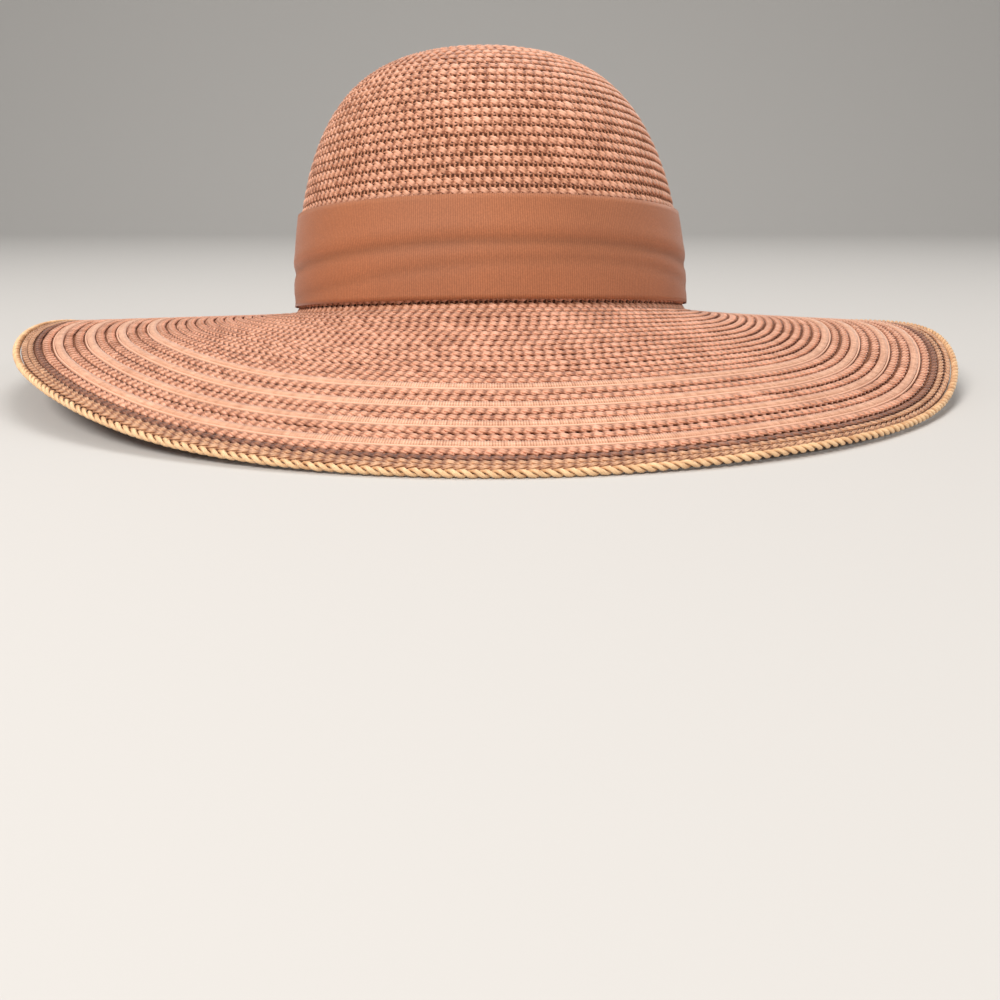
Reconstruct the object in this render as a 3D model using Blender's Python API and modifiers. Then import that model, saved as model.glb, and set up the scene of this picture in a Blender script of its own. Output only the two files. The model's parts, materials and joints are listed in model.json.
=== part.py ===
"""A floppy sun hat of sewn straw: domed crown, wide brim that droops in front, edge braid, ribbon and sweatband.

Metres, +Z up, the hat's front towards -Y. Every piece is shaped in the hat's own frame, where the opening for the
head lies in the plane z = 0. The hat is then tipped and lowered until the rim of its brim rests on the ground.
"""

import math
from collections import namedtuple

import bmesh
import bpy
import numpy as np
from mathutils import Vector
from mathutils.geometry import intersect_ray_tri

# Straw
HEAD_RADIUS = 0.0915  # inside of the opening, for a head 57.5 cm round
STRAW = 0.002  # wall of the crown and the brim
BRIM_WIDTH = 0.1215  # along the straw, from the crown's foot to the cut edge
CROWN_HEIGHT = 0.1205  # from the opening's plane to the top
CROWN_LEAN = 0.003  # the top stands this far towards -X
COLLAR_HEIGHT = 0.010  # inner edge of the brim, turned up under the ribbon
CORNER_RADIUS = 0.002  # bend between the brim's upper side and the collar

# Trimmings
EDGE_BRAID = 0.003  # diameter of the twisted braid round the rim
RIBBON_WIDTH = 0.042
RIBBON_THICKNESS = 0.001
SWEATBAND_HEIGHT = 0.030
SWEATBAND_THICKNESS = 0.001
CLEARANCE = 0.0003  # between neighbouring pieces

# The crown's outline is a superellipse: squarer across than upwards
CROWN_ACROSS = 3.2
CROWN_UPWARDS = 2.2
LEAN_GROWTH = 1.5  # the lean grows with this power of the height

# Angle of the brim below the opening's plane, clockwise from the front as seen from below
Droop = namedtuple("Droop", "azimuth_deg angle_deg")
BRIM_DROOP = (
    Droop(0, 26.0),
    Droop(30, 24.0),
    Droop(60, 18.8),
    Droop(90, 5.0),
    Droop(120, 1.8),
    Droop(150, -0.4),
    Droop(180, -1.2),
    Droop(210, -0.6),
    Droop(240, 2.0),
    Droop(270, 1.3),
    Droop(300, 10.7),
    Droop(330, 22.2),
)

# Fineness of the faceted surfaces
AROUND = 72
CROWN_RINGS = 15
CORNER_STEPS = 4
BRIM_STEPS = 6
BAND_STEPS = 4
SWEATBAND_STEPS = 3

Finish = namedtuple("Finish", "colour roughness")
STRAW_FINISH = Finish((0.62, 0.36, 0.23), 0.6)
BRAID_FINISH = Finish((0.80, 0.53, 0.29), 0.5)
RIBBON_FINISH = Finish((0.42, 0.17, 0.075), 0.75)
SWEATBAND_FINISH = Finish((0.07, 0.03, 0.015), 0.8)


def clear_scene():
    for obj in list(bpy.data.objects):
        bpy.data.objects.remove(obj, do_unlink=True)


def material(name, finish):
    made = bpy.data.materials.new(name)
    made.use_nodes = True
    shader = made.node_tree.nodes["Principled BSDF"]
    shader.inputs["Base Color"].default_value = (*finish.colour, 1.0)
    shader.inputs["Roughness"].default_value = finish.roughness
    shader.inputs["Metallic"].default_value = 0.0
    return made


def azimuths():
    return np.linspace(0.0, 2.0 * math.pi, AROUND, endpoint=False)


def brim_droop(azimuth):
    """The brim's angle below level at an azimuth, both in radians, on a smooth loop through the rows."""
    place = azimuth / (2.0 * math.pi) * len(BRIM_DROOP)
    row = math.floor(place)
    share = place - row
    before, here, after, beyond = (BRIM_DROOP[(row + step) % len(BRIM_DROOP)].angle_deg for step in (-1, 0, 1, 2))
    slope_here = (after - before) / 2.0
    slope_after = (beyond - here) / 2.0
    bend = 2.0 * (here - after) + slope_here + slope_after
    rise = -3.0 * (here - after) - 2.0 * slope_here - slope_after
    return math.radians(((bend * share + rise) * share + slope_here) * share + here)


def crown_radius(height):
    """Outside radius of the crown at a height above the opening's plane."""
    share = min(1.0, max(0.0, height) / CROWN_HEIGHT)
    return (HEAD_RADIUS + STRAW) * (1.0 - share**CROWN_UPWARDS) ** (1.0 / CROWN_ACROSS)


def crown_point(azimuth, height, outwards=0.0):
    """A point this far outside the crown's outer surface, measured level."""
    radius = crown_radius(height) + outwards
    lean = CROWN_LEAN * (max(0.0, height) / CROWN_HEIGHT) ** LEAN_GROWTH
    return Vector((radius * math.sin(azimuth) - lean, -radius * math.cos(azimuth), height))


def crown_heights(low, count):
    """Heights from low to just under the top, at even steps along the crown's outline."""
    turn = np.linspace(0.0, math.pi / 2.0, 2000)
    height = CROWN_HEIGHT * np.sin(turn) ** (2.0 / CROWN_UPWARDS)
    radius = (HEAD_RADIUS + STRAW) * np.cos(turn) ** (2.0 / CROWN_ACROSS)
    along = np.concatenate([[0.0], np.cumsum(np.hypot(np.diff(height), np.diff(radius)))])
    start = np.interp(low, height, along)
    return np.interp(np.linspace(start, along[-1], count, endpoint=False), along, height)


def brim_section(azimuth):
    """Radius and height of points on the brim's upper side: down the collar, round the bend, out to the cut edge."""
    droop = brim_droop(azimuth)
    foot = crown_radius(0.0)
    # The underside then meets the opening's plane at the head's radius
    corner = STRAW * (1.0 - math.sin(droop)) / math.cos(droop)
    turn = math.pi / 2.0 - droop
    setback = CORNER_RADIUS * math.tan(turn / 2.0)
    points = [(crown_radius(COLLAR_HEIGHT), COLLAR_HEIGHT)]
    for step in range(CORNER_STEPS + 1):
        angle = math.pi + turn * step / CORNER_STEPS
        across = foot + CORNER_RADIUS + CORNER_RADIUS * math.cos(angle)
        points.append((across, corner + setback + CORNER_RADIUS * math.sin(angle)))
    for step in range(1, BRIM_STEPS + 1):
        along = setback + (BRIM_WIDTH - setback) * step / BRIM_STEPS
        points.append((foot + along * math.cos(droop), corner - along * math.sin(droop)))
    return points


def around(azimuth, radius, height):
    return Vector((radius * math.sin(azimuth), -radius * math.cos(azimuth), height))


def rim_point(azimuth):
    """Centre of the edge braid, which follows the middle of the straw's cut edge at a small clearance."""
    droop = brim_droop(azimuth)
    radius, height = brim_section(azimuth)[-1]
    beyond = CLEARANCE + EDGE_BRAID / 2.0
    radius += beyond * math.cos(droop) - STRAW / 2.0 * math.sin(droop)
    height -= beyond * math.sin(droop) + STRAW / 2.0 * math.cos(droop)
    return around(azimuth, radius, height)


def loft(name, rings, finish, top=None):
    """A sheet through closed rings of points, each listed anticlockwise from above, with an optional top point."""
    sheet = bmesh.new()
    loops = [[sheet.verts.new(point) for point in ring] for ring in rings]
    if top is not None:
        loops.append([sheet.verts.new(top)] * len(loops[-1]))
    for lower, upper in zip(loops, loops[1:]):
        for here, _ in enumerate(lower):
            after = (here + 1) % len(lower)
            corners = (lower[here], lower[after], upper[after], upper[here])
            sheet.faces.new(tuple(dict.fromkeys(corners)))
    mesh = bpy.data.meshes.new(name)
    sheet.to_mesh(mesh)
    sheet.free()
    mesh.shade_smooth()
    mesh.materials.append(material(name, finish))
    return bpy.data.objects.new(name, mesh)


def add_wall(obj, thickness, outwards):
    wall = obj.modifiers.new("wall", "SOLIDIFY")
    wall.thickness = thickness
    wall.offset = 1.0 if outwards else -1.0
    wall.use_even_offset = True
    return obj


def crown():
    """Everything above the brim's collar, up to the domed top."""
    heights = crown_heights(COLLAR_HEIGHT + CLEARANCE, CROWN_RINGS)
    rings = [[crown_point(azimuth, height) for azimuth in azimuths()] for height in heights]
    dome = loft("crown", rings, STRAW_FINISH, top=crown_point(0.0, CROWN_HEIGHT))
    return add_wall(dome, STRAW, outwards=False)


def brim():
    """The collar and the sheet that droops in front and lies nearly level behind."""
    sections = [[around(azimuth, *point) for point in brim_section(azimuth)] for azimuth in azimuths()]
    rings = [list(ring) for ring in zip(*sections)][::-1]
    return add_wall(loft("brim", rings, STRAW_FINISH), STRAW, outwards=False)


def edge_braid():
    """The braid round the rim, as the round cord that its strands fill."""
    path = bpy.data.curves.new("edge_braid", "CURVE")
    path.dimensions = "3D"
    path.bevel_depth = EDGE_BRAID / 2.0
    path.bevel_resolution = 2
    rim = path.splines.new("POLY")
    rim.points.add(AROUND - 1)
    for point, azimuth in zip(rim.points, azimuths()):
        point.co = (*rim_point(azimuth), 1.0)
    rim.use_cyclic_u = True
    path.materials.append(material("edge_braid", BRAID_FINISH))
    return bpy.data.objects.new("edge_braid", path)


def band(name, bottom, width, steps, outwards, finish):
    """A sheet that follows the crown's wall, level with its outer surface moved this far outwards."""
    heights = [bottom + width * step / steps for step in range(steps + 1)]
    rings = [[crown_point(azimuth, height, outwards) for azimuth in azimuths()] for height in heights]
    return loft(name, rings, finish)


def hatband():
    """The ribbon, standing on the bend at the crown's foot and covering the seam above the collar."""
    bottom = STRAW + CORNER_RADIUS + CLEARANCE
    ribbon = band("hatband", bottom, RIBBON_WIDTH, BAND_STEPS, CLEARANCE, RIBBON_FINISH)
    return add_wall(ribbon, RIBBON_THICKNESS, outwards=True)


def sweatband():
    """The strip inside the opening, from where the wall turns upright."""
    bottom = STRAW + CORNER_RADIUS
    strip = band("sweatband", bottom, SWEATBAND_HEIGHT, SWEATBAND_STEPS, -STRAW - CLEARANCE, SWEATBAND_FINISH)
    return add_wall(strip, SWEATBAND_THICKNESS, outwards=False)


def finished_mesh(obj):
    """The object's mesh with its modifiers, in world space."""
    evaluated = obj.evaluated_get(bpy.context.evaluated_depsgraph_get())
    mesh = bmesh.new()
    mesh.from_mesh(evaluated.to_mesh())
    mesh.transform(evaluated.matrix_world)
    evaluated.to_mesh_clear()
    return mesh


def centre_of_mass(pieces):
    """The pieces are thin walls, so the middle of their surface is near enough."""
    area = 0.0
    moment = Vector((0.0, 0.0, 0.0))
    for piece in pieces:
        mesh = finished_mesh(piece)
        for face in mesh.faces:
            area += face.calc_area()
            moment += face.calc_area() * face.calc_center_median()
        mesh.free()
    return moment / area


def resting_direction(rim, centre):
    """The direction that gravity has when the hat lies on its rim: out of the hull face that its centre is over."""
    hull = finished_mesh(rim)
    bmesh.ops.delete(hull, geom=hull.faces[:] + hull.edges[:], context="EDGES_FACES")
    bmesh.ops.convex_hull(hull, input=hull.verts)
    bmesh.ops.triangulate(hull, faces=hull.faces)
    for face in hull.faces:
        if face.normal.z >= 0.0:
            continue
        if intersect_ray_tri(*(corner.co for corner in face.verts), face.normal, centre):
            down = face.normal.copy()
            hull.free()
            return down
    raise RuntimeError("the hat's centre of mass is over no face of its rim's hull")


def rest_on_ground(hat, pieces, rim):
    """Tips the hat as it lies by itself, and puts the middle of its box's underside at the origin."""
    bpy.context.view_layer.update()
    down = resting_direction(rim, centre_of_mass(pieces))
    hat.rotation_mode = "QUATERNION"
    hat.rotation_quaternion = down.rotation_difference(Vector((0.0, 0.0, -1.0)))
    bpy.context.view_layer.update()
    corners = []
    for piece in pieces:
        mesh = finished_mesh(piece)
        corners += [vertex.co.copy() for vertex in mesh.verts]
        mesh.free()
    low = np.min(corners, axis=0)
    high = np.max(corners, axis=0)
    hat.location = (-(low[0] + high[0]) / 2.0, -(low[1] + high[1]) / 2.0, -low[2])
    bpy.context.view_layer.update()


def main():
    clear_scene()
    collection = bpy.data.collections.new("sun_hat")
    bpy.context.scene.collection.children.link(collection)
    hat = bpy.data.objects.new("sun_hat", None)
    rim = edge_braid()
    pieces = [crown(), brim(), rim, hatband(), sweatband()]
    collection.objects.link(hat)
    for piece in pieces:
        collection.objects.link(piece)
        piece.parent = hat
    rest_on_ground(hat, pieces, rim)


main()
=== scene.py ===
"""Looks of the floppy sun hat: rope-like straw rows, ladder stripes, edge braid, ribbon and sweatband.

Metres, in the row's frame. Every piece is shaped in the hat's own frame, where the opening for the head
lies in the plane z = 0 and azimuth 0 is the front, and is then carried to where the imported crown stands.
"""

import math
from collections import namedtuple

import bmesh
import bpy
import numpy as np
from mathutils import Matrix, Vector
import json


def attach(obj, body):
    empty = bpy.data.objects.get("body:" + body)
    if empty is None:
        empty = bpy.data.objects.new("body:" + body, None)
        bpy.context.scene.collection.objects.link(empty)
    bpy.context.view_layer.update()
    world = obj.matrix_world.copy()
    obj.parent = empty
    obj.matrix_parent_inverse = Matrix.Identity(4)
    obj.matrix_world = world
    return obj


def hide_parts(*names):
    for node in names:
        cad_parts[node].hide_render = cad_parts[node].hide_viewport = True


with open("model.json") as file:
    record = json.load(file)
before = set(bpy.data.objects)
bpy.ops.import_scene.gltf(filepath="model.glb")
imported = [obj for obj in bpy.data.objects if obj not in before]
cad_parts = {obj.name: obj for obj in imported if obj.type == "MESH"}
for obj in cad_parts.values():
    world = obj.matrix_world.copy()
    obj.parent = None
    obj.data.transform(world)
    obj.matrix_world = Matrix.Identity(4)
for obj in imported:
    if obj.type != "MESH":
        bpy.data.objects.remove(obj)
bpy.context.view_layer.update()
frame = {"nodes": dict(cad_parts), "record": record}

# The hat's sizes, as in the solids
HEAD_RADIUS = 0.0915
STRAW = 0.002
BRIM_WIDTH = 0.1215
CROWN_HEIGHT = 0.1205
CROWN_LEAN = 0.003
COLLAR_HEIGHT = 0.010
CORNER_RADIUS = 0.002
EDGE_BRAID = 0.003
RIBBON_WIDTH = 0.042
RIBBON_THICKNESS = 0.001
SWEATBAND_HEIGHT = 0.030
SWEATBAND_THICKNESS = 0.001
CLEARANCE = 0.0003
CROWN_ACROSS = 3.2
CROWN_UPWARDS = 2.2
LEAN_GROWTH = 1.5
FOOT_RADIUS = HEAD_RADIUS + STRAW

# The brim's angle below the opening's plane, in degrees, at every 30 degrees from the front towards +X
BRIM_DROOP = (26.0, 24.0, 18.8, 5.0, 1.8, -0.4, -1.2, -0.6, 2.0, 1.3, 10.7, 22.2)

# The weave
ROW_PITCH = 0.0044  # from one row of straw to the next on the crown
BEAN = 0.00406  # visible length of one twist of a row
LADDER_WIDTH = 0.0034
LADDER_PITCH = 0.001  # from bar to bar
LADDER_UNIT = 0.0132  # from one ladder stripe to the next
FIRST_LADDER = 0.0665  # from the crown's foot, along the straw
LADDERS = 4
PLAIN_ROWS = 15
S_LAY = -1  # twist that runs down to the right
Z_LAY = 1

# A rope's sizes: the helix of its two plies across the row and through the straw, and one ply's half sizes
Rope = namedtuple("Rope", "swing lift half_width half_thickness")
CROWN_ROPE = Rope(0.00092, 0.00050, 0.00122, 0.00060)
BRIM_ROPE = Rope(0.00090, 0.00040, 0.00116, 0.00052)
DARK_ROPE = Rope(0.00062, 0.00036, 0.00080, 0.00048)
TAN_ROPE = Rope(0.00062, 0.00040, 0.00074, 0.00050)
ROPE_DEPTH = 0.00080  # of the brim's rows under its upper side
TOP_GROUND_DEPTH = 0.00138
UNDER_GROUND_DEPTH = 0.00160
CROWN_UNDER_DEPTH = 0.00208

# The stitches of the wrong side: pitch along the row, lean from the row in degrees, half sizes, depth
Stitch = namedtuple("Stitch", "pitch lean half_length half_width depth")
BRIM_STITCH = Stitch(0.00203, 54.0, 0.00118, 0.00046, 0.00172)
CROWN_STITCH = Stitch(0.00203, 54.0, 0.00118, 0.00046, 0.00220)
S_STITCH = Stitch(BEAN, 26.0, 0.00215, 0.00068, 0.00172)
Z_STITCH = Stitch(BEAN, -26.0, 0.00215, 0.00068, 0.00172)

# A ply's outline in shares of its half sizes, grooved where two strands meet, and each corner's painted
# shade, darker in the groove and at the two side corners
Corner = namedtuple("Corner", "wide thick tone")
GROOVED = (
    Corner(-0.92, -0.62, -0.30),
    Corner(-0.72, 0.88, 0.0),
    Corner(0.0, 0.36, -0.38),
    Corner(0.72, 0.88, 0.0),
    Corner(0.92, -0.62, -0.30),
)

rng = np.random.default_rng(12)


def hat_matrix():
    """From the hat's frame to the row's: the axis is the record's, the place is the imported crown's tip."""
    axis = Vector(frame["record"]["mounts"][0]["axis"]).normalized()
    turn = Vector((0.0, 0.0, 1.0)).rotation_difference(axis)
    tip = max((vertex.co for vertex in frame["nodes"]["crown"].data.vertices), key=axis.dot)
    origin = tip - turn @ Vector((-CROWN_LEAN, 0.0, CROWN_HEIGHT))
    return Matrix.Translation(origin) @ turn.to_matrix().to_4x4()


HAT = hat_matrix()


def unit(vectors):
    return vectors / np.linalg.norm(vectors, axis=-1, keepdims=True)


def droop_at(azimuth):
    """The brim's angle below level in radians, on a smooth loop through the rows of BRIM_DROOP."""
    table = np.array(BRIM_DROOP)
    place = np.asarray(azimuth) / (2.0 * math.pi) * len(table)
    row = np.floor(place).astype(int)
    share = place - row
    before, here, after, beyond = (table[(row + step) % len(table)] for step in (-1, 0, 1, 2))
    slope_here = (after - before) / 2.0
    slope_after = (beyond - here) / 2.0
    bend = 2.0 * (here - after) + slope_here + slope_after
    rise = -3.0 * (here - after) - 2.0 * slope_here - slope_after
    return np.radians(((bend * share + rise) * share + slope_here) * share + here)


def crown_profile():
    """Height, outside radius and distance from the top along the crown's outline."""
    turn = np.linspace(math.pi / 2.0, 0.0, 4000)
    height = CROWN_HEIGHT * np.sin(turn) ** (2.0 / CROWN_UPWARDS)
    radius = FOOT_RADIUS * np.clip(np.cos(turn), 0.0, 1.0) ** (2.0 / CROWN_ACROSS)
    along = np.concatenate([[0.0], np.cumsum(np.hypot(np.diff(height), np.diff(radius)))])
    return height, radius, along


PROFILE_HEIGHT, PROFILE_RADIUS, PROFILE_ALONG = crown_profile()


def along_at_height(height):
    return float(np.interp(-height, -PROFILE_HEIGHT, PROFILE_ALONG))


def radial(azimuth, radius, height, lean=0.0):
    """Points from azimuths, radii and heights, which may be arrays."""
    azimuth, radius, height, lean = np.broadcast_arrays(azimuth, radius, height, lean)
    return np.stack([radius * np.sin(azimuth) - lean, -radius * np.cos(azimuth), height], axis=-1)


Place = namedtuple("Place", "centre across normal")


def framed(centre, across):
    """Completes a closed line's frame: its normal stands off the straw's upper or outer side."""
    tangent = np.roll(centre, -1, axis=0) - np.roll(centre, 1, axis=0)
    normal = unit(np.cross(across, tangent))
    return Place(centre, unit(np.cross(unit(tangent), normal)), normal)


def on_crown(azimuth, along, depth=STRAW / 2.0):
    """A level line on the crown, at a distance from its top and a depth under its outer surface."""
    step = 0.0002
    height = np.interp(along, PROFILE_ALONG, PROFILE_HEIGHT)
    radius = np.interp(along, PROFILE_ALONG, PROFILE_RADIUS)
    outwards = np.interp(along + step, PROFILE_ALONG, PROFILE_RADIUS) - np.interp(
        along - step, PROFILE_ALONG, PROFILE_RADIUS
    )
    downwards = np.interp(along - step, PROFILE_ALONG, PROFILE_HEIGHT) - np.interp(
        along + step, PROFILE_ALONG, PROFILE_HEIGHT
    )
    length = np.hypot(outwards, downwards)
    outwards, downwards = outwards / length, downwards / length
    lean = CROWN_LEAN * (np.maximum(height, 0.0) / CROWN_HEIGHT) ** LEAN_GROWTH
    centre = radial(azimuth, radius - depth * downwards, height - depth * outwards, lean)
    across = radial(azimuth, outwards * np.ones_like(azimuth), -downwards)
    return framed(centre, across)


def on_brim(azimuth, along, depth=STRAW / 2.0):
    """A line round the brim, at a distance from the crown's foot and a depth under its upper side."""
    droop = droop_at(azimuth)
    corner = STRAW * (1.0 - np.sin(droop)) / np.cos(droop)
    radius = FOOT_RADIUS + along * np.cos(droop) - depth * np.sin(droop)
    height = corner - along * np.sin(droop) - depth * np.cos(droop)
    return framed(radial(azimuth, radius, height), radial(azimuth, np.cos(droop), -np.sin(droop)))


def on_bend(azimuth, share, depth=STRAW / 2.0):
    """A line on the bend between the collar and the brim, from 0 at the collar to 1 at the brim."""
    droop = droop_at(azimuth)
    corner = STRAW * (1.0 - np.sin(droop)) / np.cos(droop)
    turn = math.pi / 2.0 - droop
    setback = CORNER_RADIUS * np.tan(turn / 2.0)
    angle = math.pi + turn * share
    reach = CORNER_RADIUS + depth
    radius = FOOT_RADIUS + CORNER_RADIUS + reach * np.cos(angle)
    height = corner + setback + reach * np.sin(angle)
    return framed(radial(azimuth, radius, height), radial(azimuth, -np.sin(angle), np.cos(angle)))


def waver(azimuth, size, harmonics=(2, 3, 5, 9, 14)):
    """A small smooth wandering round the hat."""
    total = np.zeros_like(azimuth)
    for harmonic in harmonics:
        total += np.sin(harmonic * azimuth + rng.uniform(0.0, 2.0 * math.pi)) * rng.uniform(0.4, 1.0)
    return size * total / math.sqrt(len(harmonics))


class Weave:
    """Collects closed strands, each a grid of points round a loop, into one mesh."""

    def __init__(self, name):
        self.name = name
        self.strands = []

    def add(self, points, crest, tint, tone=0.0):
        """points is rings x sides x 3; the painted lightness and the tint have one value a ring, the painted
        corner shade one a side.
        """
        crest = crest[:, None] + np.zeros(points.shape[1]) + tone
        self.strands.append((points, crest, tint))

    def built(self, material):
        points, faces, crest, tint, bake, run = [], [], [], [], [], []
        start = 0
        bands = sum(strand[0].shape[1] for strand in self.strands)
        band = 0
        for grid, strand_crest, strand_tint in self.strands:
            rings, sides, _ = grid.shape
            index = start + np.arange(rings * sides).reshape(rings, sides)
            corners = [index, np.roll(index, -1, 1), np.roll(index, (-1, -1), (0, 1)), np.roll(index, -1, 0)]
            faces.append(np.stack(corners, axis=-1).reshape(-1, 4))
            points.append(grid.reshape(-1, 3))
            crest.append(strand_crest.ravel())
            tint.append(np.repeat(strand_tint, sides))
            low_u, side = np.meshgrid(np.arange(rings), np.arange(sides), indexing="ij")
            u = np.stack([low_u, low_u, low_u + 1, low_u + 1], axis=-1)
            v = np.stack([side, side + 1, side + 1, side], axis=-1)
            bake.append(np.stack([u / rings, (band + v) / bands], axis=-1).reshape(-1, 2))
            run.append(np.stack([u * 1.0, v / sides], axis=-1).reshape(-1, 2))
            band += sides
            start += rings * sides
        points, faces = np.concatenate(points), np.concatenate(faces)
        first = faces[0]
        middle = self.strands[0][0][0].mean(axis=0)
        facing = np.cross(points[first[1]] - points[first[0]], points[first[3]] - points[first[0]])
        bake, run = np.concatenate(bake), np.concatenate(run)
        if np.dot(facing, points[first].mean(axis=0) - middle) < 0.0:
            faces = faces[:, ::-1]
            bake = bake.reshape(-1, 4, 2)[:, ::-1].reshape(-1, 2)
            run = run.reshape(-1, 4, 2)[:, ::-1].reshape(-1, 2)
        piece = polygon_mesh(self.name, points, faces, {"OFBake": bake, "strand": run}, material)
        return store(piece, crest=np.concatenate(crest), tint=np.concatenate(tint))


def polygon_mesh(name, points, faces, maps, material):
    """An object of faces with as many corners each, carried from the hat's frame to the row's."""
    matrix = np.array(HAT)
    points = points @ matrix[:3, :3].T + matrix[:3, 3]
    mesh = bpy.data.meshes.new(name)
    mesh.vertices.add(len(points))
    mesh.vertices.foreach_set("co", points.astype(np.float32).ravel())
    mesh.loops.add(faces.size)
    mesh.loops.foreach_set("vertex_index", faces.astype(np.int32).ravel())
    mesh.polygons.add(len(faces))
    mesh.polygons.foreach_set("loop_start", np.arange(0, faces.size, faces.shape[1], dtype=np.int32))
    mesh.update(calc_edges=True)
    for map_name, values in maps.items():
        layer = mesh.uv_layers.new(name=map_name)
        layer.uv.foreach_set("vector", values.astype(np.float32).ravel())
    mesh.shade_smooth()
    mesh.materials.append(material)
    piece = bpy.data.objects.new(name, mesh)
    bpy.context.scene.collection.objects.link(piece)
    return piece


def store(piece, **values):
    """Keeps one number a point under each name, for the materials."""
    for name, numbers in values.items():
        kept = piece.data.attributes.new(name, "FLOAT", "POINT")
        kept.data.foreach_set("value", numbers.astype(np.float32))
    return piece


def sections(line, normal, outline, half_width, half_thickness, swell):
    """The outline set square to a closed line at each of its points."""
    direction = unit(np.roll(line, -1, axis=0) - np.roll(line, 1, axis=0))
    wide = unit(np.cross(normal, direction))
    thick = np.cross(direction, wide)
    outline = np.array([corner[:2] for corner in outline])
    offset = wide[:, None] * (outline[:, 0] * half_width)[None, :, None]
    offset = offset + thick[:, None] * (outline[:, 1] * half_thickness)[None, :, None]
    return line[:, None] + offset * swell[:, None, None]


def rope(weave, place_at, size, lay, rings_a_turn, wander=0.00012):
    """One closed row: two plies that wind round each other, with a little chance in each twist."""
    turns = max(2, round(ring_length(place_at) / (2.0 * BEAN)))
    rings = turns * rings_a_turn
    azimuth = np.arange(rings) * 2.0 * math.pi / rings
    place = place_at(azimuth)
    phase = lay * turns * azimuth + rng.uniform(0.0, 2.0 * math.pi) + waver(azimuth, 0.22)
    shift = waver(azimuth, wander) if turns > 6 else np.zeros_like(azimuth)
    for ply in range(2):
        angle = phase + math.pi * ply
        bean = np.floor((angle - angle.min()) / math.pi).astype(int) % (turns * 2)
        chance = rng.normal(0.0, 1.0, turns * 2)[bean]
        smooth = (np.roll(chance, 1) + chance + np.roll(chance, -1)) / 3.0
        line = (
            place.centre
            + place.across * (size.swing * np.cos(angle) * (1.0 + 0.05 * smooth) + shift)[:, None]
            + place.normal * (size.lift * np.sin(angle))[:, None]
        )
        swell = 1.0 + 0.06 * smooth - 0.10 * (1.0 - np.abs(np.sin(angle)))
        grid = sections(line, place.normal, GROOVED, size.half_width, size.half_thickness, swell)
        # Painted shade a corner: darker in the groove between the strands and at the side corners
        tone = np.array([corner.tone for corner in GROOVED])
        # Painted light and shade: a ply is lit where it rides up and shaded where it dives, the phase
        # shifted a little so each twist is lit on one side
        weave.add(grid, np.sin(angle + 0.35 * lay), np.clip(0.5 + 0.22 * smooth, 0.0, 1.0), tone)


def ring_length(place_at):
    azimuth = np.arange(256) * 2.0 * math.pi / 256
    centre = place_at(azimuth).centre
    return float(np.linalg.norm(np.roll(centre, -1, axis=0) - centre, axis=1).sum())


def new_material(name):
    made = bpy.data.materials.new(name)
    made.use_nodes = True
    return made, made.node_tree.nodes, made.node_tree.links, made.node_tree.nodes["Principled BSDF"]


def ramp(nodes, links, source, stops):
    """A colour ramp over a value, its stops (place, linear colour)."""
    node = nodes.new("ShaderNodeValToRGB")
    while len(node.color_ramp.elements) > 1:
        node.color_ramp.elements.remove(node.color_ramp.elements[-1])
    for number, (place, colour) in enumerate(stops):
        stop = node.color_ramp.elements[0] if number == 0 else node.color_ramp.elements.new(place)
        stop.position = place
        stop.color = (*colour, 1.0)
    links.new(source, node.inputs["Fac"])
    return node.outputs["Color"]


def arithmetic(nodes, links, operation, first, second=None, clamp=False):
    node = nodes.new("ShaderNodeMath")
    node.operation = operation
    node.use_clamp = clamp
    for socket, value in zip(node.inputs, (first, second)):
        if value is None:
            continue
        if isinstance(value, (int, float)):
            socket.default_value = value
        else:
            links.new(value, socket)
    return node.outputs["Value"]


def mixed(nodes, links, factor, first, second, blend="MIX"):
    node = nodes.new("ShaderNodeMix")
    node.data_type = "RGBA"
    node.blend_type = blend
    for socket, value in ((node.inputs[0], factor), (node.inputs[6], first), (node.inputs[7], second)):
        if isinstance(value, (int, float)):
            socket.default_value = value
        elif isinstance(value, tuple):
            socket.default_value = (*value, 1.0)
        else:
            links.new(value, socket)
    return node.outputs[2]


def attribute(nodes, name):
    node = nodes.new("ShaderNodeAttribute")
    node.attribute_name = name
    return node.outputs["Fac"]


def noise(nodes, links, scale, detail=2.0, vector=None):
    node = nodes.new("ShaderNodeTexNoise")
    node.inputs["Scale"].default_value = scale
    node.inputs["Detail"].default_value = detail
    if vector is None:
        vector = nodes.new("ShaderNodeTexCoord").outputs["Object"]
    links.new(vector, node.inputs["Vector"])
    return node.outputs["Fac"]


def bumped(nodes, links, shader, height, strength, distance):
    node = nodes.new("ShaderNodeBump")
    node.inputs["Strength"].default_value = strength
    node.inputs["Distance"].default_value = distance
    links.new(height, node.inputs["Height"])
    links.new(node.outputs["Normal"], shader.inputs["Normal"])


# A straw's three colours along its ramp: the first is painted shade where a ply dives, the last painted
# light where it rides up, and the random tint and patches move between them too
Straw = namedtuple("Straw", "deep middle light")


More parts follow.
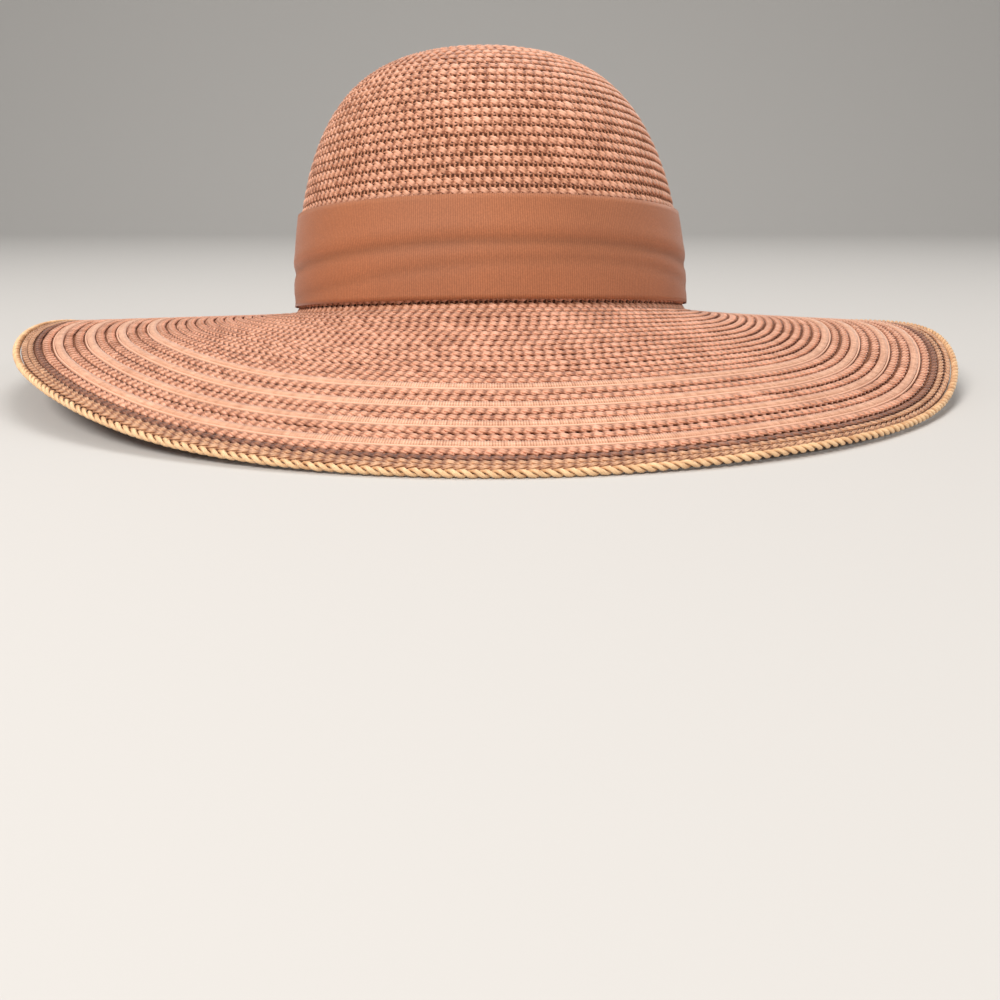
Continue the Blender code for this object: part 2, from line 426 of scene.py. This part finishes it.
def straw_material(name, colours, roughness=0.52, sheen=0.25):
    """Twisted straw: painted light where a ply rides up, painted shade where it dives, with fibres and a
    tint a twist.
    """
    made, nodes, links, shader = new_material(name)
    # Painted light and shade from the ply's height: lighter where it rides up, darker where it dives under
    # the other ply
    crest = arithmetic(nodes, links, "ABSOLUTE", attribute(nodes, "crest"))
    patches = noise(nodes, links, 55.0, 2.0)
    tint = arithmetic(nodes, links, "MULTIPLY_ADD", attribute(nodes, "tint"), 0.5)
    tint.node.inputs[2].default_value = -0.25
    rise = arithmetic(nodes, links, "ADD", crest, tint)
    cloudy = arithmetic(nodes, links, "MULTIPLY_ADD", patches, 0.5)
    cloudy.node.inputs[2].default_value = -0.25
    rise = arithmetic(nodes, links, "ADD", rise, cloudy, clamp=True)
    colour = ramp(nodes, links, rise, ((0.05, colours.deep), (0.5, colours.middle), (0.95, colours.light)))
    strand = nodes.new("ShaderNodeUVMap")
    strand.uv_map = "strand"
    stretch = nodes.new("ShaderNodeMapping")
    stretch.inputs["Scale"].default_value = (0.12, 14.0, 1.0)
    links.new(strand.outputs["UV"], stretch.inputs["Vector"])
    fibres = noise(nodes, links, 1.0, 3.0, stretch.outputs["Vector"])
    shade = ramp(nodes, links, fibres, ((0.30, (0.72, 0.66, 0.60)), (0.62, (1.0, 1.0, 1.0))))
    colour = mixed(nodes, links, 0.8, colour, shade, "MULTIPLY")
    links.new(colour, shader.inputs["Base Color"])
    shader.inputs["Roughness"].default_value = roughness
    shader.inputs["Sheen Weight"].default_value = sheen
    shader.inputs["Sheen Roughness"].default_value = 0.4
    shader.inputs["Specular IOR Level"].default_value = 0.4
    bumped(nodes, links, shader, fibres, 0.35, 0.00015)
    return made


PINK_STRAW = Straw((0.30, 0.100, 0.047), (0.66, 0.310, 0.185), (0.93, 0.50, 0.345))
# The dark row near the edge: its dark colour is painted shade of a recessed row
SHADED_ROW_STRAW = Straw((0.11, 0.036, 0.018), (0.26, 0.100, 0.055), (0.42, 0.19, 0.11))
# The wrong side's stitches: darker, partly their own colour and partly painted shade of the underside
SHADED_WRONG_SIDE_STRAW = Straw((0.15, 0.052, 0.026), (0.40, 0.175, 0.095), (0.62, 0.320, 0.190))
TAN_STRAW = Straw((0.28, 0.110, 0.052), (0.55, 0.280, 0.150), (0.82, 0.49, 0.295))
LIGHT_STRAW = Straw((0.44, 0.180, 0.100), (0.70, 0.360, 0.225), (0.90, 0.53, 0.365))
GOLD_STRAW = Straw((0.30, 0.115, 0.045), (0.68, 0.370, 0.180), (0.95, 0.64, 0.365))


def finish_piece(piece, slot, *nodes):
    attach(piece, "root")
    if nodes:
        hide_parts(*nodes)
    return piece


def crown_rows():
    """Rows from the top down to behind the ribbon, as (distance from the top) values."""
    last = along_at_height(0.028)
    return [ROW_PITCH * (number + 0.5) for number in range(round(last / ROW_PITCH))]


def crown(material, brown):
    """The crown's rows, in an upper and a lower piece, and the stitches on its inside."""
    rows = crown_rows()
    upper_count = round(len(rows) * 0.58)
    for name, part in (("crown_top", rows[:upper_count]), ("crown_side", rows[upper_count:])):
        weave = Weave(name)
        for along in part:
            place_at = lambda azimuth, along=along: on_crown(azimuth, along)
            rope(weave, place_at, CROWN_ROPE, S_LAY, 7)
        finish_piece(weave.built(material), "straw", "crown")
    last = along_at_height(STRAW + CORNER_RADIUS + SWEATBAND_HEIGHT + 0.001)
    inside = [along for along in rows if 0.003 < along < last]
    rows = [stitch_row(on_crown, along, CROWN_STITCH) for along in inside]
    stitches("crown_stitches", brown, rows, "crown")


def brim_plan():
    """What lies across the brim, as (kind, distance of its middle from the crown's foot)."""
    plain = (FIRST_LADDER - LADDER_WIDTH / 2.0) / PLAIN_ROWS
    plan = [("row", plain * (number + 0.5)) for number in range(PLAIN_ROWS)]
    line = 0.0009
    for number in range(LADDERS):
        middle = FIRST_LADDER + LADDER_UNIT * number
        plan.append(("ladder", middle))
        edge = middle + LADDER_WIDTH / 2.0
        plan.append(("line", edge + line / 2.0))
        gap = LADDER_UNIT - LADDER_WIDTH - line
        plan.append(("row", edge + line + gap * 0.25))
        if number < LADDERS - 1:
            plan.append(("row", edge + line + gap * 0.75))
    edge += line + gap * 0.5
    dark = 0.0031
    tan = (BRIM_WIDTH - edge - dark) / 2.0
    plan.append(("dark", edge + dark / 2.0))
    plan.append(("tan_s", edge + dark + tan / 2.0))
    plan.append(("tan_z", edge + dark + tan * 1.5))
    return plan


def brim(pink, dark, tan, light, brown):
    plan = brim_plan()
    rows = [along for kind, along in plan if kind == "row"]
    shares = ((0, 8), (8, 13), (13, 18), (18, len(rows)))
    for number, (first, last) in enumerate(shares):
        weave = Weave(f"brim_rows_{number + 1}")
        for along in rows[first:last]:
            place_at = lambda azimuth, along=along: on_brim(azimuth, along, ROPE_DEPTH)
            rope(weave, place_at, BRIM_ROPE, S_LAY, 6)
        finish_piece(weave.built(pink), "straw", "brim")
    for kind, material, size, lay in (
        ("dark", dark, DARK_ROPE, S_LAY),
        ("tan_s", tan, TAN_ROPE, S_LAY),
        ("tan_z", tan, TAN_ROPE, Z_LAY),
    ):
        weave = Weave("brim_" + kind)
        for along in [along for found, along in plan if found == kind]:
            place_at = lambda azimuth, along=along: on_brim(azimuth, along, ROPE_DEPTH)
            rope(weave, place_at, size, lay, 6)
        finish_piece(weave.built(material), "straw", "brim")
    weave = Weave("brim_bend")
    rope(weave, lambda azimuth: on_crown(azimuth, along_at_height(0.0053)), CROWN_ROPE, S_LAY, 8)
    rope(weave, lambda azimuth: on_bend(azimuth, 0.40, ROPE_DEPTH), BRIM_ROPE, S_LAY, 8)
    finish_piece(weave.built(pink), "straw", "brim")
    ladders(light, [along for kind, along in plan if kind == "ladder"])
    lines(light, [along for kind, along in plan if kind == "line"])
    turned = [stitch_row(on_bend, share, BRIM_STITCH) for share in (0.2, 0.75)]
    rows = turned + [stitch_row(on_brim, along, BRIM_STITCH) for along in rows]
    half = (len(rows) + 1) // 2
    stitches("brim_stitches_inner", brown, rows[:half], "brim")
    stitches("brim_stitches_outer", brown, rows[half:], "brim")
    outer = (("dark", dark, S_STITCH), ("tan_s", tan, S_STITCH), ("tan_z", tan, Z_STITCH))
    for kind, material, stitch in outer:
        rows = [stitch_row(on_brim, along, stitch) for found, along in plan if found == kind]
        stitches("brim_stitches_" + kind, material, rows, "brim")


def stitch_row(on_straw, along, stitch):
    """A row's place on the crown, the bend or the brim, from azimuth and depth, and its stitch."""
    return (lambda azimuth, depth: on_straw(azimuth, along, depth)), stitch


def stitches(name, material, rows, node):
    """Small slanting stitches on the wrong side, each an eight-faced lozenge; a row is (place, stitch)."""
    points, faces, bake, crest, tint = [], [], [], [], []
    start = 0
    for row, (on_straw, stitch) in enumerate(rows):
        place_at = lambda azimuth, on_straw=on_straw, depth=stitch.depth: on_straw(azimuth, depth)
        count = round(ring_length(place_at) / stitch.pitch)
        azimuth = (np.arange(count) + rng.uniform(0.0, 1.0)) * 2.0 * math.pi / count
        place = place_at(azimuth)
        tangent = np.cross(place.normal, place.across)
        tangent *= np.sign((tangent * (np.roll(place.centre, -1, 0) - place.centre)).sum(1, keepdims=True))
        lean = math.radians(stitch.lean) + rng.normal(0.0, 0.08, count)[:, None]
        ahead = tangent * np.cos(lean) + place.across * np.sin(lean)
        side = np.cross(place.normal, ahead)
        size = 1.0 + rng.normal(0.0, 0.07, count)[:, None]
        centre = place.centre + place.across * rng.normal(0.0, 0.00008, count)[:, None]
        arms = (ahead * stitch.half_length, side * stitch.half_width)
        corners = [centre + arm * size for arm in (arms[0], arms[1], -arms[0], -arms[1])]
        corners += [centre - place.normal * 0.00042, centre + place.normal * 0.0002]
        points.append(np.stack(corners, axis=1).reshape(-1, 3))
        base = start + np.arange(count)[:, None] * len(corners)
        start += count * len(corners)
        for pole in (4, 5):
            for here in range(4):
                after = (here + 1) % 4
                order = (here, after, pole) if pole == 4 else (after, here, pole)
                faces.append(base + np.array(order))
                cell = (np.arange(count)[:, None] + (here + np.array((0.05, 0.9, 0.05))) / 4.0) / count
                high = (row + (pole - 4 + np.array((0.05, 0.05, 0.9))) / 2.0) / len(rows)
                bake.append(np.stack([cell, np.broadcast_to(high, cell.shape)], axis=-1))
        # Painted light and shade: a stitch is lit at its middle that stands out on the wrong side, shaded at
        # its tips and hidden face
        crest.append(np.tile((0.20, 0.45, 0.20, 0.45, 0.95, 0.2), count))
        tint.append(np.repeat(np.clip(rng.normal(0.5, 0.25, count), 0.0, 1.0), len(corners)))
    points, faces = np.concatenate(points), np.concatenate(faces)
    bake = np.concatenate(bake).reshape(-1, 2)
    first = faces[0]
    facing = np.cross(points[first[1]] - points[first[0]], points[first[2]] - points[first[0]])
    if np.dot(facing, points[first].mean(axis=0) - points[:6].mean(axis=0)) < 0.0:
        faces, bake = faces[:, ::-1], bake.reshape(-1, 3, 2)[:, ::-1].reshape(-1, 2)
    piece = polygon_mesh(name, points, faces, {"OFBake": bake, "strand": bake}, material)
    store(piece, crest=np.concatenate(crest), tint=np.concatenate(tint))
    finish_piece(piece, "straw", node)


def ladders(material, places):
    """Light stripes of close cross bars."""
    weave = Weave("brim_ladders")
    flat = ((-0.92, 0.90), (0.92, 0.90), (0.92, -0.90), (-0.92, -0.90))
    for along in places:
        place_at = lambda azimuth, along=along: on_brim(azimuth, along)
        bars = round(ring_length(place_at) / LADDER_PITCH)
        azimuth = np.arange(bars * 2) * math.pi / bars
        place = place_at(azimuth)
        high = np.arange(bars * 2) % 2
        grid = sections(
            place.centre, place.normal, flat, LADDER_WIDTH / 2.0, 0.00098, 0.82 + 0.18 * high
        )
        chance = np.clip(0.5 + 0.25 * np.repeat(rng.normal(0.0, 1.0, bars), 2), 0.0, 1.0)
        # Painted shade: the lower, thinner bars between the raised ones are darker
        weave.add(grid, 0.25 + 0.75 * high, chance)
    finish_piece(weave.built(material), "straw", "brim")


def lines(material, places):
    """A thin smooth cord just outside each ladder."""
    weave = Weave("brim_lines")
    round_outline = [(math.cos(turn), math.sin(turn)) for turn in np.arange(5) * 2.0 * math.pi / 5]
    for along in places:
        azimuth = np.arange(360) * 2.0 * math.pi / 360
        place = on_brim(azimuth, along)
        ones = np.ones_like(azimuth)
        grid = sections(place.centre, place.normal, round_outline, 0.00042, 0.00085, ones)
        weave.add(grid, ones * 0.9, ones * 0.6)
    finish_piece(weave.built(material), "straw", "brim")


def edge_braid(material):
    """Two doubled plies twisted round each other along the rim."""
    weave = Weave("edge_cord")
    centre_along = BRIM_WIDTH + CLEARANCE + EDGE_BRAID / 2.0
    place_at = lambda azimuth: on_brim(azimuth, centre_along)
    turns = round(ring_length(place_at) / (2.0 * BEAN))
    rings = turns * 10
    azimuth = np.arange(rings) * 2.0 * math.pi / rings
    place = place_at(azimuth)
    phase = S_LAY * turns * azimuth + waver(azimuth, 0.3)
    strand = 0.00069
    outline = [(math.cos(turn), math.sin(turn)) for turn in np.arange(5) * 2.0 * math.pi / 5]
    for offset in (0.0, 0.60, math.pi, math.pi + 0.60):
        angle = phase + offset
        bean = np.floor((angle - angle.min()) / math.pi).astype(int) % (turns * 2)
        chance = rng.normal(0.0, 1.0, turns * 2)[bean]
        smooth = (np.roll(chance, 1) + chance + np.roll(chance, -1)) / 3.0
        reach = EDGE_BRAID / 2.0 - strand * 0.90
        line = (
            place.centre
            + place.across * (reach * np.cos(angle))[:, None]
            + place.normal * (reach * np.sin(angle))[:, None]
        )
        swell = 1.0 + 0.07 * smooth
        grid = sections(line, unit(line - place.centre), outline, strand, strand, swell)
        # Painted light: each strand lighter where it runs round the braid's outer edge
        weave.add(grid, 0.75 + 0.25 * np.cos(angle), np.clip(0.5 + 0.25 * smooth, 0.0, 1.0))
    finish_piece(weave.built(material), "edge_straw", "edge_braid")


def sheet_material(name, dark, thread):
    """The ground behind the rows: gaps painted dark as shade, crossed by thin light threads."""
    made, nodes, links, shader = new_material(name)
    weft = nodes.new("ShaderNodeUVMap")
    weft.uv_map = "weft"
    split = nodes.new("ShaderNodeSeparateXYZ")
    links.new(weft.outputs["UV"], split.inputs["Vector"])
    place = arithmetic(nodes, links, "FRACT", split.outputs["X"])
    middle = arithmetic(nodes, links, "ABSOLUTE", arithmetic(nodes, links, "SUBTRACT", place, 0.5))
    # The dark colour is painted shade of the gaps between the rows
    colour = ramp(nodes, links, middle, ((0.10, thread), (0.24, dark)))
    links.new(colour, shader.inputs["Base Color"])
    shader.inputs["Roughness"].default_value = 0.8
    shader.inputs["Specular IOR Level"].default_value = 0.15
    return made


def under_material(name, dark, thread):
    """The ground between the stitches of the underside: brown, with holes painted dark as shade in a diamond
    lattice.
    """
    made, nodes, links, shader = new_material(name)
    weft = nodes.new("ShaderNodeUVMap")
    weft.uv_map = "weft"
    split = nodes.new("ShaderNodeSeparateXYZ")
    links.new(weft.outputs["UV"], split.inputs["Vector"])
    waves = []
    for axis, operation in (("X", "COSINE"), ("Y", "SINE")):
        turned = arithmetic(nodes, links, "MULTIPLY", split.outputs[axis], 2.0 * math.pi)
        waves.append(arithmetic(nodes, links, operation, turned))
    lattice = arithmetic(nodes, links, "MULTIPLY", waves[0], waves[1])
    # The dark colour is painted shade of the holes; the brown is the thread
    colour = ramp(nodes, links, lattice, ((0.15, thread), (0.50, dark)))
    cloudy = noise(nodes, links, 40.0, 3.0)
    shade = ramp(nodes, links, cloudy, ((0.30, (0.80, 0.78, 0.76)), (0.70, (1.12, 1.08, 1.04))))
    colour = mixed(nodes, links, 0.8, colour, shade, "MULTIPLY")
    links.new(colour, shader.inputs["Base Color"])
    shader.inputs["Roughness"].default_value = 0.75
    return made


def sheet(name, bands, azimuth_count, material):
    """A closed sheet through lines round the hat. Each band is (lower line, upper line, threads round)."""
    azimuth = np.arange(azimuth_count) * 2.0 * math.pi / azimuth_count
    lines_at = [bands[0][0]] + [band[1] for band in bands]
    grid = np.stack([line(azimuth).centre for line in lines_at], axis=1)
    index = np.arange(azimuth_count * len(lines_at)).reshape(azimuth_count, -1)
    after = np.roll(index, -1, 0)
    corners = (index[:, :-1], index[:, 1:], after[:, 1:], after[:, :-1])
    faces = np.stack(corners, axis=-1).reshape(-1, 4)
    step, band = np.meshgrid(np.arange(azimuth_count), np.arange(len(bands)), indexing="ij")
    threads = np.array([band[2] for band in bands])
    u = np.stack([step, step, step + 1, step + 1], axis=-1) / azimuth_count
    v = np.stack([band, band + 1, band + 1, band], axis=-1)
    bake = np.stack([u, v / len(bands)], axis=-1).reshape(-1, 2)
    weft = np.stack([u * threads[band][..., None], v], axis=-1).reshape(-1, 2)
    return polygon_mesh(name, grid.reshape(-1, 3), faces, {"OFBake": bake, "weft": weft}, material)


def thicken(piece, thickness, offset):
    wall = piece.modifiers.new("wall", "SOLIDIFY")
    wall.thickness = thickness
    wall.offset = offset
    wall.use_even_offset = True
    return piece


def backings(material, under):
    """The thin grounds of the crown and of the brim, with threads at two a twist."""
    rows = [0.0006] + crown_rows()
    bands = []
    for low, high in zip(rows, rows[1:]):
        lower, upper = (lambda azimuth, along=along: on_crown(azimuth, along) for along in (low, high))
        threads = max(6, round(ring_length(upper) / BEAN) * 2)
        bands.append((lower, upper, threads))
    finish_piece(thicken(sheet("crown_ground", bands, 96, material), 0.0003, 0.0), "straw", "crown")
    inner = []
    for low, high in zip(rows, rows[1:]):
        lower = lambda azimuth, along=low: on_crown(azimuth, along, CROWN_UNDER_DEPTH)
        upper = lambda azimuth, along=high: on_crown(azimuth, along, CROWN_UNDER_DEPTH)
        inner.append((lower, upper, max(6, round(ring_length(upper) / BEAN) * 2)))
    finish_piece(thicken(sheet("crown_under_ground", inner, 96, under), 0.00015, 0.0), "straw", "crown")
    bend_end = 0.0032
    places = [bend_end] + [along for _, along in brim_plan() if along > bend_end] + [BRIM_WIDTH]
    for name, depth, look in (
        ("brim_ground", TOP_GROUND_DEPTH, material),
        ("brim_under_ground", UNDER_GROUND_DEPTH, under),
    ):
        line_at = [lambda azimuth, depth=depth: on_crown(azimuth, along_at_height(COLLAR_HEIGHT), depth)]
        for share in (0.0, 0.33, 0.66, 1.0):
            line_at.append(lambda azimuth, share=share, depth=depth: on_bend(azimuth, share, depth))
        for along in places:
            line_at.append(lambda azimuth, along=along, depth=depth: on_brim(azimuth, along, depth))
        bands = [(low, high, round(ring_length(high) / BEAN) * 2) for low, high in zip(line_at, line_at[1:])]
        finish_piece(thicken(sheet(name, bands, 120, look), 0.00015, 0.0), "straw", "brim")


def band_line(height, outwards):
    """A level line outside or inside the crown's wall."""
    return lambda azimuth: on_crown(azimuth, along_at_height(height), -outwards)


def ribbon_material():
    made, nodes, links, shader = new_material("ribbon")
    weft = nodes.new("ShaderNodeUVMap")
    weft.uv_map = "weft"
    split = nodes.new("ShaderNodeSeparateXYZ")
    links.new(weft.outputs["UV"], split.inputs["Vector"])
    turned = arithmetic(nodes, links, "MULTIPLY", split.outputs["X"], 2.0 * math.pi)
    wave = arithmetic(nodes, links, "SINE", turned)
    rib = arithmetic(nodes, links, "MULTIPLY_ADD", wave, 0.5)
    rib.node.inputs[2].default_value = 0.5
    grain = noise(nodes, links, 1400.0, 2.0)
    cloudy = noise(nodes, links, 22.0, 3.0)
    colour = ramp(nodes, links, rib, ((0.0, (0.33, 0.108, 0.041)), (1.0, (0.43, 0.153, 0.063))))
    # Painted shade: the ribbon darker along its creases
    depth = arithmetic(nodes, links, "MULTIPLY", attribute(nodes, "fold"), -1000.0)
    shade = ramp(nodes, links, depth, ((0.0, (1.0, 1.0, 1.0)), (0.9, (0.74, 0.72, 0.66))))
    colour = mixed(nodes, links, 1.0, colour, shade, "MULTIPLY")
    shade = ramp(nodes, links, grain, ((0.35, (0.80, 0.78, 0.76)), (0.70, (1.12, 1.12, 1.12))))
    colour = mixed(nodes, links, 0.6, colour, shade, "MULTIPLY")
    shade = ramp(nodes, links, cloudy, ((0.30, (0.88, 0.87, 0.86)), (0.70, (1.08, 1.07, 1.06))))
    colour = mixed(nodes, links, 0.7, colour, shade, "MULTIPLY")
    links.new(colour, shader.inputs["Base Color"])
    shader.inputs["Roughness"].default_value = 0.68
    shader.inputs["Sheen Weight"].default_value = 0.35
    shader.inputs["Sheen Roughness"].default_value = 0.35
    height = arithmetic(nodes, links, "MULTIPLY_ADD", grain, 0.4)
    links.new(rib, height.node.inputs[2])
    bumped(nodes, links, shader, height, 0.5, 0.00012)
    return made


def hatband(material):
    """The ribbon, with two soft creases that run round its front."""
    bottom = STRAW + CORNER_RADIUS + CLEARANCE
    azimuth_count = 240
    steps = 20
    azimuth = np.arange(azimuth_count) * 2.0 * math.pi / azimuth_count
    ribs = round(2.0 * math.pi * FOOT_RADIUS / 0.00095)
    middle = bottom + RIBBON_WIDTH * (0.56 - 0.20 * (1.0 - np.cos(azimuth - 0.15)))
    second = middle - 0.010 + 0.003 * np.sin(azimuth * 2.0 + 0.6)
    bands = []
    shares = [step / steps for step in range(steps + 1)]

    def folds(height):
        crease = -0.00090 * np.exp(-(((height - middle) / 0.0024) ** 2))
        crease -= 0.00045 * np.exp(-(((height - second) / 0.0022) ** 2))
        return crease + 0.00035 * np.exp(-(((height - middle - 0.0055) / 0.003) ** 2))

    def line(share):
        def at(angles):
            height = bottom + RIBBON_WIDTH * share
            place = on_crown(angles, along_at_height(height), -(CLEARANCE + RIBBON_THICKNESS))
            return Place(place.centre + place.normal * folds(height)[:, None], place.across, place.normal)

        return at

    for low, high in zip(shares, shares[1:]):
        bands.append((line(low), line(high), ribs))
    ribbon = sheet("ribbon", bands, azimuth_count, material)
    heights = bottom + RIBBON_WIDTH * np.array(shares)
    # Crease depths kept for the painted shade along the creases
    store(ribbon, fold=np.stack([folds(height) for height in heights], axis=1).ravel())
    finish_piece(thicken(ribbon, RIBBON_THICKNESS * 0.3, -1.0), "ribbon", "hatband")


def sweatband_material():
    """A plain ribbed tape, dark brown."""
    made, nodes, links, shader = new_material("sweatband")
    weft = nodes.new("ShaderNodeUVMap")
    weft.uv_map = "weft"
    split = nodes.new("ShaderNodeSeparateXYZ")
    links.new(weft.outputs["UV"], split.inputs["Vector"])
    turned = arithmetic(nodes, links, "MULTIPLY", split.outputs["X"], 2.0 * math.pi)
    wave = arithmetic(nodes, links, "SINE", turned)
    rib = arithmetic(nodes, links, "MULTIPLY_ADD", wave, 0.5)
    rib.node.inputs[2].default_value = 0.5
    grain = noise(nodes, links, 900.0, 3.0)
    colour = ramp(nodes, links, grain, ((0.3, (0.060, 0.028, 0.014)), (0.7, (0.130, 0.064, 0.032))))
    shade = ramp(nodes, links, rib, ((0.0, (0.80, 0.80, 0.80)), (1.0, (1.08, 1.08, 1.08))))
    colour = mixed(nodes, links, 1.0, colour, shade, "MULTIPLY")
    links.new(colour, shader.inputs["Base Color"])
    shader.inputs["Roughness"].default_value = 0.7
    shader.inputs["Sheen Weight"].default_value = 0.2
    height = arithmetic(nodes, links, "MULTIPLY_ADD", grain, 0.5)
    links.new(rib, height.node.inputs[2])
    bumped(nodes, links, shader, height, 0.5, 0.00015)
    return made


def sweatband(material):
    """The tape inside the opening, with a rolled hem along its lower edge."""
    bottom = STRAW + CORNER_RADIUS
    hem = [(0.0, 0.0), (0.0006, 0.00045), (0.0015, 0.00065), (0.0024, 0.00045), (0.0030, 0.0)]
    plain = [(height, 0.0) for height in np.linspace(0.0038, SWEATBAND_HEIGHT, 8)]
    rings = [band_line(bottom + height, -STRAW - CLEARANCE - inwards) for height, inwards in hem + plain]
    bands = [(low, high, 600) for low, high in zip(rings, rings[1:])]
    strip = sheet("sweatband_tape", bands, 144, material)
    finish_piece(thicken(strip, SWEATBAND_THICKNESS, 1.0), "sweatband", "sweatband")


def stage():
    """A pale floor that sweeps up behind the hat."""
    made, nodes, links, shader = new_material("floor")
    shader.inputs["Base Color"].default_value = (0.57, 0.56, 0.545, 1.0)
    shader.inputs["Roughness"].default_value = 0.9
    sweep = bmesh.new()
    profile = [(-3.0, 0.0), (1.6, 0.0)]
    profile += [(1.6 + math.sin(turn), 1.0 - math.cos(turn)) for turn in np.linspace(0.1, math.pi / 2.0, 12)]
    profile.append((2.6, 4.0))
    sides = [[sweep.verts.new((x, y, z)) for y, z in profile] for x in (-4.0, 4.0)]
    for left, left_after, right, right_after in zip(sides[0], sides[0][1:], sides[1], sides[1][1:]):
        sweep.faces.new((left, right, right_after, left_after))
    mesh = bpy.data.meshes.new("floor")
    sweep.to_mesh(mesh)
    sweep.free()
    mesh.shade_smooth()
    mesh.materials.append(made)
    floor = bpy.data.objects.new("floor", mesh)
    bpy.context.scene.collection.objects.link(floor)


def area_light(name, place, target, size, power, colour):
    data = bpy.data.lights.new(name, "AREA")
    data.shape = "DISK"
    data.size = size
    data.energy = power
    data.color = colour
    light = bpy.data.objects.new(name, data)
    light.location = place
    light.rotation_euler = (Vector(target) - Vector(place)).to_track_quat("-Z", "Y").to_euler()
    bpy.context.scene.collection.objects.link(light)


def lights():
    bpy.context.scene.view_settings.view_transform = "Standard"
    area_light("key", (-0.75, -1.05, 1.15), (0.0, 0.0, 0.05), 0.7, 23.0, (1.0, 0.95, 0.9))
    area_light("fill", (1.4, -0.8, 0.7), (0.0, 0.0, 0.05), 1.2, 8.0, (1.0, 0.96, 0.93))
    area_light("top", (0.1, 0.5, 1.7), (0.0, 0.0, 0.0), 1.0, 14.0, (1.0, 0.98, 0.96))
    world = bpy.data.worlds.new("studio")
    world.use_nodes = True
    world.node_tree.nodes["Background"].inputs["Color"].default_value = (0.95, 0.93, 0.9, 1.0)
    world.node_tree.nodes["Background"].inputs["Strength"].default_value = 0.45
    bpy.context.scene.world = world


def camera():
    """The photograph's place and lens, with the hat set upright under it."""
    data = bpy.data.cameras.new("camera")
    data.sensor_width = 36.0
    data.lens = 38.8
    eye = bpy.data.objects.new("camera", data)
    eye.location = (0.0, -0.5395, 0.088)
    eye.rotation_euler = (math.radians(90.0 - 16.2), 0.0, math.radians(-0.48))
    bpy.context.scene.collection.objects.link(eye)
    bpy.context.scene.camera = eye


def main():
    camera()
    lights()
    stage()
    pink = straw_material("pink_straw", PINK_STRAW)
    # The dark row's colour is painted shade of a recessed row
    dark = straw_material("shaded_row_straw", SHADED_ROW_STRAW)
    tan = straw_material("tan_straw", TAN_STRAW)
    light = straw_material("light_straw", LIGHT_STRAW)
    gold = straw_material("gold_straw", GOLD_STRAW, roughness=0.42, sheen=0.15)
    # The grounds' dark colours are painted shade of gaps and holes
    ground = sheet_material("straw_ground", (0.075, 0.026, 0.013), (0.52, 0.23, 0.13))
    # The underside ground's brown is darker partly as painted shade of the underside
    under = under_material("straw_under", (0.035, 0.012, 0.006), (0.235, 0.092, 0.050))
    # Darker wrong-side straw: partly its own colour, partly painted shade of the underside
    brown = straw_material("shaded_wrong_side_straw", SHADED_WRONG_SIDE_STRAW)
    crown(pink, brown)
    brim(pink, dark, tan, light, brown)
    edge_braid(gold)
    backings(ground, under)
    hatband(ribbon_material())
    sweatband(sweatband_material())


main()

import json
